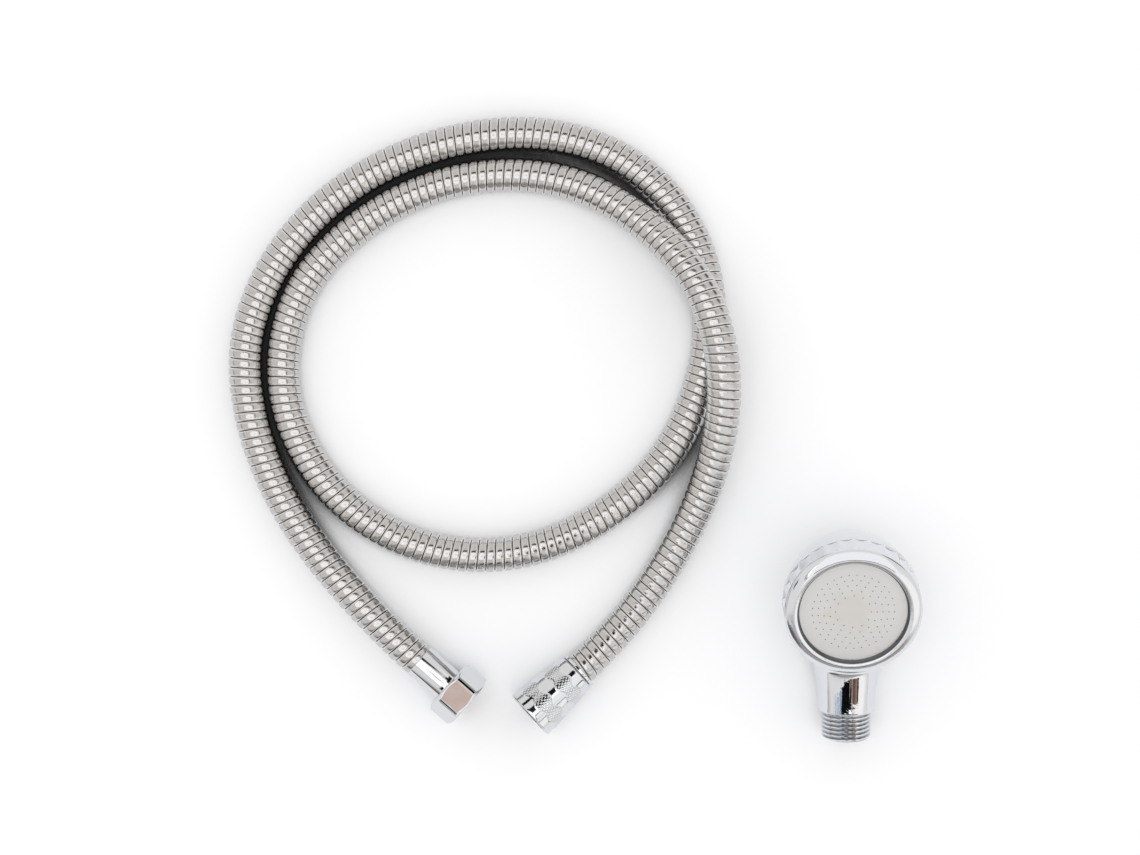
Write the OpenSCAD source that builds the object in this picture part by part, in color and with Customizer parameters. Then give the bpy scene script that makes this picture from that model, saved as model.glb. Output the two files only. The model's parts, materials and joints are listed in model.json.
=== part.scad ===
// Handheld bath sprayer: a chromed sprayer head with a screw-on face ring and a
// perforated steel spray plate, and the strip-wound steel hose that feeds it.
// The head lies on its back with the spray plate up. The hose lies beside it in
// two loose loops, with a cone nut and a hex nut on its ends.
// Millimetres. The origin is under the middle of the head, on the surface that
// everything lies on. +Z is up, and the head's inlet points to -Y.

/* [Face ring] */
// Outer radius of the face ring and of the body behind it
head_r = 28.7; // [24:0.1:36]
// Height of the face ring, from its front crest to its rear edge
ring_h = 12.5; // [10:0.1:18]
// Width of the rounded shoulder, from the crest to the side of the ring
shoulder_w = 4.1; // [3:0.1:6]
// Width of the inner bevel, from the crest to the opening that shows the plate
bevel_w = 2.2; // [1.2:0.1:4]
// Depth of the rounded shoulder outside the crest
shoulder_h = 2.8; // [1.5:0.1:4]
// Depth of the spray plate below the crest
plate_recess = 2.4; // [1.6:0.1:4]
// Number of finger flutes around the ring
flute_count = 28; // [16:1:32]
// Depth of a flute at the rear edge of the ring
flute_depth = 0.65; // [0.4:0.05:1.2]
// Width of the land left between two flutes
flute_land = 0.44; // [0.2:0.02:2]
// Depth below the crest at which a flute runs out
flute_end = 3.2; // [3:0.1:6]
// Wall of the ring's side
ring_wall = 2.6; // [2:0.1:3.4]

/* [Spray plate] */
// Thickness of the spray plate
plate_t = 0.8; // [0.5:0.1:1.5]
// Diameter of a spray hole
spray_hole_d = 0.45; // [0.4:0.05:1]
// Distance from the opening's edge to the outermost circle of spray holes
spray_margin = 5.4; // [3:0.1:7]
// Distance between two circles of spray holes
spray_pitch = 2.4; // [1.5:0.1:3]
// Thickness of the rubber seal behind the plate
seal_t = 1.8; // [1:0.1:3]
// Width of the seal, from its inner edge to its outer edge
seal_w = 3; // [2:0.1:4]

/* [Body] */
// Depth of the widest circle of the domed back, below the crest
dome_start = 7; // [5:0.1:9]
// Depth of the domed back beyond its widest circle
dome_h = 43; // [35:0.1:52]
// Wall of the domed back
body_wall = 2.6; // [2:0.1:3.2]

/* [Neck] */
// Angle by which the face leans forward from the line of the neck
neck_lean = 14.5; // [8:0.5:20]
// Distance of the neck's axis behind the middle of the crest
neck_offset = 27.8; // [26:0.1:32]
// Step from the thread out to the collar of the neck
collar_step = 1.5; // [0.8:0.1:3]
// Length of the neck, from the side of the ring to the collar's end
neck_len = 18.7; // [15:0.1:30]
// Length over which the neck widens towards the body
flare_len = 24.4; // [15:0.1:26]
// Radius of the arc by which the neck widens towards the body
neck_flare_r = 79; // [60:1:120]
// Radius of the waterway through the neck
waterway_r = 6.2; // [4.5:0.1:6.8]

/* [Pipe thread] */
// Major radius of the half-inch pipe thread
thread_major_r = 10.4775; // [8.5:0.0001:13]
// Depth of the half-inch pipe thread
thread_depth = 1.162; // [0.8:0.001:1.3]
// Length of the head's male thread
thread_len = 12; // [9:0.5:15]
// Chamfer at the start of the thread
thread_chamfer = 1; // [0.4:0.1:1.4]

/* [Hose] */
// Outer radius of the steel casing
casing_r = 7.3; // [6:0.05:7.4]
// Wall of the steel casing
casing_wall = 0.85; // [0.6:0.05:0.9]
// Play between the casing and the water tube inside it
liner_play = 0.25; // [0.15:0.05:0.6]
// Wall of the water tube
liner_wall = 1.55; // [1.2:0.05:1.8]

/* [Hose ends] */
// Step from the casing out to the crimped ferrules
ferrule_step = 0.1; // [0:0.05:0.2]
// Thickness of the sealing flange of both tails
flange_t = 1.6; // [1:0.1:2.5]
// Wall of a tail's stem, in the grooves between its barbs
tail_wall = 0.7; // [0.4:0.05:1.2]
// Thickness of the plastic slip rings that let the nuts turn
slip_t = 1.2; // [0.8:0.1:2]
// Thickness of the rubber washers
washer_t = 2.2; // [1.5:0.1:3]
// Width of a washer, from its hole to its rim
washer_w = 3; // [2:0.1:3.6]

/* [Cone nut] */
// Length of the cone nut
cone_len = 27; // [24:0.5:34]
// Distance from each end of the nut to the knurled grip band beside it
grip_from = 4.5; // [3:0.1:5]
// Length of each of the two grip bands
grip_len = 6.5; // [4:0.1:6.8]
// Height of the grip bands above the smooth ends and the smooth waist
grip_rise = 0.3; // [0:0.05:0.5]
// Wall of its small end, around the ferrule's hole
cone_back_wall = 1.25; // [0.8:0.05:2]
// Wall of its big end, around the root of the thread
cone_mouth_wall = 1.3; // [0.8:0.1:3]
// Wall around the flange, where the shoulder inside begins
cone_chamber_wall = 1.4; // [1.1:0.05:1.8]

/* [Hex nut] */
// Wall of the hex nut at a flat, around the root of the thread
hex_wall = 0.57; // [0.5:0.01:2.5]
// Length of the hex nut
hex_len = 12; // [11:0.5:16]
// Length of ferrule that shows between casing and nut
hex_ferrule_show = 16; // [12:0.5:24]
// Thickness of the nut's back wall
hex_back_t = 2; // [1.5:0.1:3]

/* [Hidden] */
$fn = 72;

// Clearances
seat_gap = 0.15;        // face ring's rear edge to the body's shoulder
ring_thread_gap = 0.15; // radial, between the face ring's bore and the spigot
plate_gap = 0.3;        // radial, between the spray plate and the ring's bore
pocket_gap = 0.5;       // radial, between the face ring and the neck's pocket
nut_bore_gap = 0.35;    // radial, between a ferrule and a nut's back hole
slip_gap = 0.1;         // around a slip ring
nut_gap = 0.4;          // between the cone nut's small end and its ferrule
stem_gap = 0.04;        // between a tail's stem and the water tube's bore
ferrule_gap = 0.05;     // between a ferrule's bore and the water tube
flange_play = 0.7;      // radial, between a flange and the crests of the nut's thread
chamber_relief = 0.1;   // radial, between a flange and the nut's inner wall
thread_relief = 0.3;    // from a washer's face to the start of the nut's thread

// Head, in the face frame: origin at the middle of the crest, +Z out of the face,
// -Y towards the neck
crest_r = head_r - shoulder_w;
face_open_r = crest_r - bevel_w;
ring_bore_r = head_r - ring_wall;
spigot_r = ring_bore_r - ring_thread_gap;
plate_r = ring_bore_r - plate_gap;
plate_z = -plate_recess;
seal_z = plate_z - plate_t;
spigot_z = seal_z - seal_t;
shoulder_z = -ring_h - seat_gap;
shoulder_web = 2.5;     // thickness of the web that joins the spigot to the dome
// The domed back is half an ellipsoid that passes through head_r at the shoulder
dome_r = head_r / sqrt(1 - pow((-shoulder_z - dome_start) / dome_h, 2));
SPRAY_COUNTS = [33, 27, 21, 15, 12]; // holes in each circle, from the outermost in

// Neck, in the neck frame: origin at the foot of the crest's middle on the neck's
// axis, +Z towards the inlet, +Y towards the face
thread_minor_r = thread_major_r - thread_depth;
collar_r = thread_major_r + collar_step;
collar_at = head_r + neck_len;
thread_end = collar_at + thread_len;
neck_from = 4;          // start of the neck, inside the domed back
flare_from = collar_at - flare_len;
neck_root_r = collar_r + neck_flare_r - sqrt(pow(neck_flare_r, 2) - pow(flare_len, 2));
collar_edge_r = 0.6;

// Rest: the domed back touches the floor, and so does the lowest edge of the neck,
// which is the thread's unless the collar or the root stands out below it
rim_t = thread_end - thread_chamfer;
rest_tilt = min(
    support_tilt(rim_t, thread_major_r),
    support_tilt(collar_at, collar_r),
    support_tilt(flare_from, neck_root_r)
);
neck_slope = rest_tilt - neck_lean;
head_z = dome_start * cos(rest_tilt)
    + sqrt(pow(dome_r * sin(rest_tilt), 2) + pow(dome_h * cos(rest_tilt), 2));
back_y = dome_start * sin(rest_tilt)
    + sqrt(pow(dome_r * cos(rest_tilt), 2) + pow(dome_h * sin(rest_tilt), 2));
inlet_y = -thread_end * cos(neck_slope)
    + (neck_offset - thread_major_r + thread_chamfer) * sin(neck_slope);
head_y = -(back_y + inlet_y) / 2;

// Hose ends, in the fitting frame: origin at the end of the casing, +Z away from it
liner_r = casing_r - casing_wall - liner_play;
ferrule_r = casing_r + ferrule_step;
ferrule_bore_r = liner_r + ferrule_gap;
nut_hole_r = ferrule_r + nut_bore_gap;
flange_r = thread_minor_r - flange_play;
chamber_r = flange_r + chamber_relief;
cone_small_r = nut_hole_r + cone_back_wall;
cone_big_r = thread_major_r + cone_mouth_wall;
ferrule_lip_r = cone_small_r - 0.35;
ferrule_lip_t = 1.4;
nut_mouth_chamfer = 0.6;
cone_at = ferrule_lip_t + nut_gap;
cone_shoulder = cone_at
    + cone_len * (chamber_r + cone_chamber_wall - cone_small_r) / (cone_big_r - cone_small_r);
cone_mouth = cone_at + cone_len;
cone_flange_at = cone_shoulder + slip_t + 2 * slip_gap;
cone_washer_end = cone_flange_at + flange_t + washer_t;
cone_tilt = atan((cone_big_r - cone_small_r) / cone_len);
hex_af = 2 * (thread_major_r + hex_wall);
hex_at = hex_ferrule_show;
hex_shoulder = hex_at + hex_back_t;
hex_mouth = hex_at + hex_len;
hex_flange_at = hex_shoulder + slip_t + 2 * slip_gap;
hex_washer_end = hex_flange_at + flange_t + washer_t;
tail_seat = 4;          // length of the tail that fills the ferrule's front
tube_sides = 12;
stem_r = (liner_r - liner_wall) * cos(180 / tube_sides) - stem_gap;
stem_groove = 0.35;     // depth of the grooves between the barbs
stem_end = 2;           // the stem stops this far short of the casing
tail_bore_r = stem_r - stem_groove - tail_wall;
washer_r = flange_r;
washer_hole_r = washer_r - washer_w;
screen_t = 0.3;
screen_rise = washer_t - 0.8;
screen_r = washer_hole_r - 0.1;

// Route of the hose, from the hex nut's ferrule to the cone nut's ferrule. The first
// and last two points lie on the axes of the fittings.
hex_axis_z = hex_af / 2;
cone_end_z = cone_small_r * cos(cone_tilt) - cone_at * sin(cone_tilt);
cone_near_z = cone_end_z - norm([6, 5.5]) * tan(cone_tilt);
low = casing_r;         // height of the axis where the hose lies on the floor
ROUTE = [
    [-181, -11, hex_axis_z], [-189, -4, hex_axis_z], [-205, 12, 10.2], [-225, 35, 8],
    [-242, 62, low], [-253, 93, low], [-255, 124, low], [-245, 153, low],
    [-226, 178, low], [-200, 197, low], [-169, 209, low], [-136, 213, low],
    [-105, 207, low], [-79, 190, low], [-62, 163, low], [-57, 131, low],
    [-63, 100, low], [-78, 72, low], [-102, 50, low], [-131, 36, low],
    [-162, 33, low], [-192, 41, low], [-218, 60, low], [-235.5, 88.5, low],
    [-239.5, 119, low], [-230.5, 148.5, low], [-209, 172, low], [-180.5, 188.5, low],
    [-149, 195.5, 7.5], [-116.5, 192, 9.5], [-89, 177, 14.5], [-66, 154, 21.4],
    [-54, 125, 23.4], [-52, 94, 18.5], [-59, 63, 11.5], [-73, 34, 7.8],
    [-90, 9, low], [-107, -9.5, cone_near_z], [-113, -15, cone_end_z]
];

function unit(v) = v / norm(v);

// Tilt at which the domed back and a circle of the neck, of radius r at t, both touch
// the floor
function support_tilt(t, r) =
    let (
        y = -t * cos(neck_lean) - (r + neck_offset) * sin(neck_lean),
        q = t * sin(neck_lean) - (r + neck_offset) * cos(neck_lean) + dome_start,
        k = y * y - dome_r * dome_r
    )
    atan((-y * q + sqrt(pow(y * q, 2) - k * (q * q - dome_h * dome_h))) / k);

// Direction of the route at point i: halfway between the stretches that meet there
function heading(p, i) =
    i == 0 ? unit(p[1] - p[0])
    : i == len(p) - 1 ? unit(p[i] - p[i - 1])
    : unit(unit(p[i + 1] - p[i]) + unit(p[i] - p[i - 1]));

// n points on a circle of radius r, square to the route at point i
function hoop(p, i, r, n) =
    let (t = heading(p, i), side = unit(cross(t, [0, 0, 1])), up = cross(side, t))
    [for (k = [0 : n - 1]) p[i] + r * (cos(360 * k / n) * side + sin(360 * k / n) * up)];

// Hollow tube swept along the route, with flat ends
module tube(path, r_out, r_in, n = tube_sides) {
    m = len(path);
    outer = [for (i = [0 : m - 1]) each hoop(path, i, r_out, n)];
    inner = [for (i = [0 : m - 1]) each hoop(path, i, r_in, n)];
    function at(i, k) = i * n + (k % n);
    function bore(i, k) = m * n + at(i, k);
    walls = [for (i = [0 : m - 2], k = [0 : n - 1]) each [
        [at(i, k), at(i, k + 1), at(i + 1, k)],
        [at(i, k + 1), at(i + 1, k + 1), at(i + 1, k)],
        [bore(i, k), bore(i + 1, k), bore(i, k + 1)],
        [bore(i, k + 1), bore(i + 1, k), bore(i + 1, k + 1)]
    ]];
    ends = [for (k = [0 : n - 1]) each [
        [at(0, k), bore(0, k), at(0, k + 1)],
        [at(0, k + 1), bore(0, k), bore(0, k + 1)],
        [at(m - 1, k), at(m - 1, k + 1), bore(m - 1, k)],
        [at(m - 1, k + 1), bore(m - 1, k + 1), bore(m - 1, k)]
    ]];
    polyhedron(points = concat(outer, inner), faces = concat(walls, ends), convexity = 10);
}

// Points of a quarter of an ellipse about (cr, cz), from angle a0 to a1
function quarter(cr, cz, ar, az, a0, a1, steps) =
    [for (i = [0 : steps]) let (a = a0 + (a1 - a0) * i / steps) [cr + ar * cos(a), cz + az * sin(a)]];

// Places children that are drawn in the face frame
module in_head() {
    translate([0, head_y, head_z]) rotate([rest_tilt, 0, 0]) children();
}

// Places children that are drawn in the neck frame, inside the face frame
module on_neck() {
    translate([0, -neck_offset * sin(neck_lean), -neck_offset * cos(neck_lean)])
        rotate([90 - neck_lean, 0, 0]) children();
}

// Places children that are drawn in the fitting frame, at point a of the route and
// facing away from point b
module at_end(a, b) {
    v = unit(a - b);
    translate(a) rotate([0, acos(v.z), atan2(v.y, v.x)]) children();
}

module on_hex_end() at_end(ROUTE[0], ROUTE[1]) children();

module on_cone_end() at_end(ROUTE[len(ROUTE) - 1], ROUTE[len(ROUTE) - 2]) children();

// Ring between two radii and two heights
module sleeve(r_out, r_in, z0, z1) {
    translate([0, 0, z0]) difference() {
        cylinder(r = r_out, h = z1 - z0);
        translate([0, 0, -1]) cylinder(r = r_in, h = z1 - z0 + 2);
    }
}

// Half outline of the domed back, moved inwards by inset, from height z_top down
module dome_outline(inset, z_top) {
    r = dome_r - inset;
    h = dome_h - inset;
    a_top = -asin((-z_top - dome_start) / h);
    polygon(concat([[0, z_top]], quarter(0, -dome_start, r, h, a_top, -90, 30)));
}

// Body: domed shell, spigot for the face ring, neck, collar and plain thread
module head_shell() {
    color("gainsboro") in_head() difference() {
        union() {
            rotate_extrude() dome_outline(0, shoulder_z);
            translate([0, 0, shoulder_z - 1]) cylinder(r = spigot_r, h = spigot_z - shoulder_z + 1);
            on_neck() neck();
        }
        rotate_extrude() dome_outline(body_wall, shoulder_z - shoulder_web);
        translate([0, 0, shoulder_z - shoulder_web - 1])
            cylinder(r = plate_r - seal_w, h = ring_h + shoulder_web);
        ring_pocket();
        on_neck() cylinder(r = waterway_r, h = thread_end + 1);
    }
}

module neck() {
    flare = [for (i = [0 : 14]) let (
        t = flare_from + (collar_at - collar_edge_r - flare_from) * i / 14
    ) [collar_r + neck_flare_r - sqrt(pow(neck_flare_r, 2) - pow(collar_at - t, 2)), t]];
    rotate_extrude() polygon(concat(
        [[0, neck_from], [neck_root_r, neck_from]],
        flare,
        [[collar_r - collar_edge_r, collar_at], [thread_major_r, collar_at],
         [thread_major_r, rim_t], [thread_major_r - thread_chamfer, thread_end], [0, thread_end]]
    ));
}

// Room for the face ring to turn in, around the spigot and in front of it, where the
// neck rises beside the ring
module ring_pocket() {
    pocket_r = head_r + pocket_gap;
    translate([0, 0, shoulder_z]) difference() {
        cylinder(r = pocket_r, h = ring_h * 3);
        translate([0, 0, -1]) cylinder(r = spigot_r, h = spigot_z - shoulder_z + 1);
    }
}

// Face ring: its inner bevel rises from a lip around the plate to the crest, with a
// narrow step halfway
module face_ring() {
    lip_top = plate_z + 0.6;
    bevel_top = [crest_r - 0.5, -0.15];
    step_h = 0.3;
    middle = ([face_open_r, lip_top] + bevel_top) / 2;
    color("gainsboro") in_head() difference() {
        rotate_extrude() polygon(concat(
            [[face_open_r, plate_z], [face_open_r, lip_top],
             middle - [0, step_h / 2], middle + [0, step_h / 2], bevel_top],
            quarter(crest_r, -shoulder_h, head_r - crest_r, shoulder_h, 90, 0, 10),
            [[head_r, -ring_h], [ring_bore_r, -ring_h], [ring_bore_r, plate_z]]
        ));
        for (i = [0 : flute_count - 1]) rotate([0, 0, 360 * (i + 0.5) / flute_count]) flute();
    }
}

// Cutter of one flute: a cylinder beside the ring, with a ball on its end, so that
// the flute ends in a round scallop below the shoulder
module flute() {
    half = PI * head_r / flute_count - flute_land / 2;
    sag = flute_depth - (head_r - sqrt(head_r * head_r - half * half));
    cutter_r = (half * half + sag * sag) / (2 * sag);
    scallop_h = sqrt(2 * cutter_r * flute_depth - flute_depth * flute_depth);
    straight = ring_h - flute_end - scallop_h;
    translate([head_r - flute_depth + cutter_r, 0, -ring_h]) {
        translate([0, 0, -2]) cylinder(r = cutter_r, h = straight + 2);
        translate([0, 0, straight]) sphere(r = cutter_r);
    }
}

module spray_plate() {
    color("silver") in_head() translate([0, 0, seal_z]) difference() {
        cylinder(r = plate_r, h = plate_t);
        for (k = [0 : len(SPRAY_COUNTS) - 1], i = [1 : SPRAY_COUNTS[k]])
            rotate([0, 0, 360 * i / SPRAY_COUNTS[k]])
                translate([face_open_r - spray_margin - k * spray_pitch, 0, -1])
                    cylinder(d = spray_hole_d, h = plate_t + 2, $fn = 16);
    }
}

module plate_seal() {
    color("dimgray") in_head() sleeve(plate_r, plate_r - seal_w, spigot_z, seal_z);
}

module hose_casing() {
    color("silver") tube(ROUTE, casing_r, casing_r - casing_wall);
}

// The water tube runs on from the casing into both ferrules
module hose_liner() {
    last = len(ROUTE) - 1;
    hex_run = hex_flange_at - tail_seat;
    cone_run = cone_flange_at - tail_seat;
    path = concat(
        [ROUTE[0] + hex_run * unit(ROUTE[0] - ROUTE[1])],
        ROUTE,
        [ROUTE[last] + cone_run * unit(ROUTE[last] - ROUTE[last - 1])]
    );
    color("dimgray") tube(path, liner_r, liner_r - liner_wall);
}

// Tail: sealing flange, a plug that fills the front of the ferrule, and a stem with
// three barbs inside the water tube
module tail(flange_at) {
    barbs = 3;
    stem_len = flange_at - tail_seat - stem_end;
    barb = stem_len / barbs;
    difference() {
        rotate_extrude() polygon(concat(
            [[0, stem_end], [stem_r - stem_groove, stem_end]],
            [for (i = [0 : barbs - 1]) each [
                [stem_r, stem_end + barb * (i + 0.5)],
                [stem_r, stem_end + barb * (i + 0.7)],
                [stem_r - stem_groove, stem_end + barb * (i + 1)]
            ]],
            [[liner_r, flange_at - tail_seat], [liner_r, flange_at],
             [flange_r, flange_at], [flange_r, flange_at + flange_t], [0, flange_at + flange_t]]
        ));
        cylinder(r = tail_bore_r, h = flange_at + flange_t + 1);
    }
}

module washer(at) {
    sleeve(washer_r, washer_hole_r, at, at + washer_t);
}

// Cone nut: its two grip bands lie on the cone, and the ends and the waist between
// the bands are sunk by the height of the bands
module cone_nut() {
    edge = 0.6;
    ramp = 0.4;
    function wall_at(z, sunk) =
        [cone_small_r + (cone_big_r - cone_small_r) * z / cone_len - sunk, cone_at + z];
    color("gainsboro") on_cone_end() difference() {
        rotate_extrude() polygon(concat(
            [[0, cone_at], [cone_small_r - grip_rise - edge, cone_at], wall_at(edge, grip_rise)],
            [for (z = [grip_from, cone_len - grip_from - grip_len]) each [
                wall_at(z, grip_rise), wall_at(z + ramp, 0),
                wall_at(z + grip_len - ramp, 0), wall_at(z + grip_len, grip_rise)
            ]],
            [wall_at(cone_len - edge, grip_rise), [cone_big_r - grip_rise - edge, cone_mouth],
             [0, cone_mouth]]
        ));
        translate([0, 0, cone_at - 1]) cylinder(r = nut_hole_r, h = cone_len);
        translate([0, 0, cone_shoulder])
            cylinder(r = chamber_r, h = cone_washer_end + thread_relief - cone_shoulder);
        nut_thread(cone_washer_end + thread_relief, cone_mouth);
    }
}

module cone_tail() {
    color("goldenrod") on_cone_end() tail(cone_flange_at);
}

// Ferrule crimped over the water tube, with a lip that the casing ends against
module cone_ferrule() {
    color("gainsboro") on_cone_end() union() {
        sleeve(ferrule_r, ferrule_bore_r, 0, cone_flange_at);
        sleeve(ferrule_lip_r, ferrule_bore_r, 0, ferrule_lip_t);
    }
}

module slip_ring(at) {
    sleeve(flange_r, ferrule_r + slip_gap, at + slip_gap, at + slip_gap + slip_t);
}

module cone_slip_ring() {
    color("white") on_cone_end() slip_ring(cone_shoulder);
}

module cone_washer() {
    color("dimgray") on_cone_end() washer(cone_flange_at + flange_t);
}

// Filter screen: a shallow steel cup that sits in the hole of the washer, its rim
// on the tail's flange
module cone_screen() {
    base = cone_flange_at + flange_t;
    color("silver") on_cone_end() rotate_extrude() polygon([
        [0, base + screen_rise], [screen_r * 0.55, base + screen_rise - 0.4],
        [screen_r - screen_t, base + screen_t], [screen_r, base], [screen_r, base + screen_t * 2],
        [screen_r * 0.6, base + screen_rise], [0, base + screen_rise + screen_t * 1.3]
    ]);
}

// Plain bore of a nut's thread, with its lead-in chamfer at the mouth
module nut_thread(from, mouth) {
    translate([0, 0, from]) cylinder(r = thread_minor_r, h = mouth - from + 1);
    translate([0, 0, mouth - nut_mouth_chamfer]) cylinder(
        r1 = thread_minor_r, r2 = thread_minor_r + nut_mouth_chamfer + 0.5, h = nut_mouth_chamfer + 0.5
    );
}

module hex_nut() {
    corner_r = hex_af / 2 / cos(30);
    bevel = corner_r - hex_af / 2 + 0.5;
    rise = bevel * tan(32);
    color("gainsboro") on_hex_end() difference() {
        intersection() {
            translate([0, 0, hex_at]) rotate([0, 0, 30]) cylinder(r = corner_r, h = hex_len, $fn = 6);
            rotate_extrude() polygon([
                [0, hex_at], [corner_r - bevel, hex_at], [corner_r, hex_at + rise],
                [corner_r, hex_mouth - rise], [corner_r - bevel, hex_mouth], [0, hex_mouth]
            ]);
        }
        translate([0, 0, hex_at - 1]) cylinder(r = nut_hole_r, h = hex_len);
        translate([0, 0, hex_shoulder])
            cylinder(r = chamber_r, h = hex_washer_end + thread_relief - hex_shoulder);
        nut_thread(hex_washer_end + thread_relief, hex_mouth);
    }
}

module hex_tail() {
    color("goldenrod") on_hex_end() tail(hex_flange_at);
}

module hex_ferrule() {
    color("gainsboro") on_hex_end() sleeve(ferrule_r, ferrule_bore_r, 0, hex_flange_at);
}

module hex_slip_ring() {
    color("white") on_hex_end() slip_ring(hex_shoulder);
}

module hex_washer() {
    color("dimgray") on_hex_end() washer(hex_flange_at + flange_t);
}

head_shell();
face_ring();
spray_plate();
plate_seal();
hose_casing();
hose_liner();
cone_nut();
cone_tail();
cone_ferrule();
cone_slip_ring();
cone_washer();
cone_screen();
hex_nut();
hex_tail();
hex_ferrule();
hex_slip_ring();
hex_washer();
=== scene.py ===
"""Handheld bath sprayer: a chromed head with a screw-on face ring, and its strip-wound hose.

Shapes are worked out in millimetres in three local frames and placed in metres:
face frame: origin at the middle of the ring's crest, +Z out of the face, -Y to the neck;
neck frame: origin on the neck's axis, +Z to the inlet, +Y to the face;
fitting frame: origin at an end of the casing, +Z away from the casing.
"""

import json
import math

import bmesh
import bpy
import numpy as np
from bpy.props import FloatProperty, IntProperty, PointerProperty, StringProperty
from bpy.types import Operator, Panel, PropertyGroup
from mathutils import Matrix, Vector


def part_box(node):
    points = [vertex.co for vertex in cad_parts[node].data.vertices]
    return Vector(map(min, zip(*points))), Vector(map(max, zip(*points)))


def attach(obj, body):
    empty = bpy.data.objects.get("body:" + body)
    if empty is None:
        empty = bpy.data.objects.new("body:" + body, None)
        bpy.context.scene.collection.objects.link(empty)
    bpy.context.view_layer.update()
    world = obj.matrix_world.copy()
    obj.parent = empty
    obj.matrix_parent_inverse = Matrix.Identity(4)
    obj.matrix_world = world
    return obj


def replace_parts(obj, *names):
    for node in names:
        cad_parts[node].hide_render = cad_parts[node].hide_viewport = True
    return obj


bl_info = {
    "name": "Handheld Bath Sprayer",
    "version": (1, 0, 0),
    "blender": (4, 5, 0),
    "location": "View3D > Sidebar > Sprayer",
    "description": "Chromed sprayer head, strip-wound hose, nuts and their finishes",
    "category": "Add Mesh",
}

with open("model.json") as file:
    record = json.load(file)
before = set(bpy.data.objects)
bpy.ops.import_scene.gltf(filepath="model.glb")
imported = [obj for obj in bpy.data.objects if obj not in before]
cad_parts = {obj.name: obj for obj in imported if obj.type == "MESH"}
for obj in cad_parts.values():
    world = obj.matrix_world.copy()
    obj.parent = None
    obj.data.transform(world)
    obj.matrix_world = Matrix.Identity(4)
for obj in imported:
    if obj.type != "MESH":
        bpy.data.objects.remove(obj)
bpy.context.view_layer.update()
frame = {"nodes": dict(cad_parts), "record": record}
RECORD = frame["record"]
JOINTS = {joint["name"]: joint for joint in RECORD["behaviour"]["joints"]}
MOUNTS = {mount["name"]: mount for mount in RECORD["mounts"]}
MM = 0.001

# Record slot and material of the plated pieces
PLATED_PLASTIC = ("chromed_plastic", "chrome on ABS")
PLATED_BRASS = ("chromed_brass", "chrome on brass")

# Sizes of the CAD pieces that the shapes below keep to, in millimetres
HEAD_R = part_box("face_ring")[1].x / MM
CREST_R = HEAD_R - 4.1
OPEN_R = CREST_R - 2.2
RING_BORE_R = HEAD_R - 2.6
RING_FOOT_Z = -12.5
PLATE_Z = -2.4
# The crest's round, the top of the flutes' straight part and half of a rib between two
CREST_ROUND = 3.0
FLUTE_TOP_Z = -3.2
RIB_HALF = 0.22
SPIGOT_R = RING_BORE_R - 0.15
SPIGOT_Z = -5.0
SHOULDER_Z = -12.65
DOME_START, DOME_H = 7.0, 43.0
DOME_R = HEAD_R / math.sqrt(1 - ((-SHOULDER_Z - DOME_START) / DOME_H) ** 2)
BODY_WALL = 2.6
SEAL_BORE_R = RING_BORE_R - 0.3 - 3.0
LEAN = math.radians(14.5)
NECK_OFFSET = 27.8
THREAD_R = MOUNTS["inlet_thread"]["dims"]["r_mm"]
THREAD_ROOT_R = MOUNTS["cone_nut_thread"]["dims"]["r_mm"]
THREAD_PITCH = 1.814
COLLAR_R = THREAD_R + 1.5
COLLAR_AT = HEAD_R + 18.7
COLLAR_ROUND = 0.6
THREAD_END = COLLAR_AT + 12.0
FLARE_LEN, FLARE_R = 24.4, 79.0
WATERWAY_R = MOUNTS["waterway"]["dims"]["r_mm"]
INLET_MIDDLE = COLLAR_AT + 5.5
CASING_R = 7.3
LINER_R = 6.2
FERRULE_R = CASING_R + 0.1
FERRULE_BORE_R = LINER_R + 0.05
NUT_HOLE_R = FERRULE_R + 0.35
CHAMBER_R = THREAD_ROOT_R - 0.6
CONE_SMALL_R = NUT_HOLE_R + 1.25
CONE_BIG_R = THREAD_R + 1.3
CONE_AT, CONE_LEN = 1.8, 27.0
GRIP_FROM, GRIP_LEN = 4.5, 6.5
KNURL_FROM = 1.2
# The cone nut's shoulder lies where its wall round the chamber is this thick
CONE_WALL = 1.4
CONE_SHOULDER = CONE_AT + (
    CONE_LEN * (CHAMBER_R + CONE_WALL - CONE_SMALL_R) / (CONE_BIG_R - CONE_SMALL_R)
)
HEX_AF = 2 * (THREAD_R + 0.57)
HEX_AT, HEX_LEN, HEX_SHOULDER = 16.0, 12.0, 18.0
# From a nut's shoulder to the start of its thread: slip ring, flange, washer and a gap
SLIP_RING = 1.4
NUT_STACK = SLIP_RING + 1.6 + 2.2 + 0.3
# Angle below which two faces meet smoothly, in degrees
SHARP = 35

# Route of the hose on the floor, from the hex nut's ferrule to the cone nut's, in metres
HEX_Z = HEX_AF / 2 * MM
CONE_DIR = np.array(JOINTS["cone_spin"]["axis"])
CONE_END = np.array(JOINTS["cone_spin"]["pos_m"])
LOW = CASING_R * MM
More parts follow.
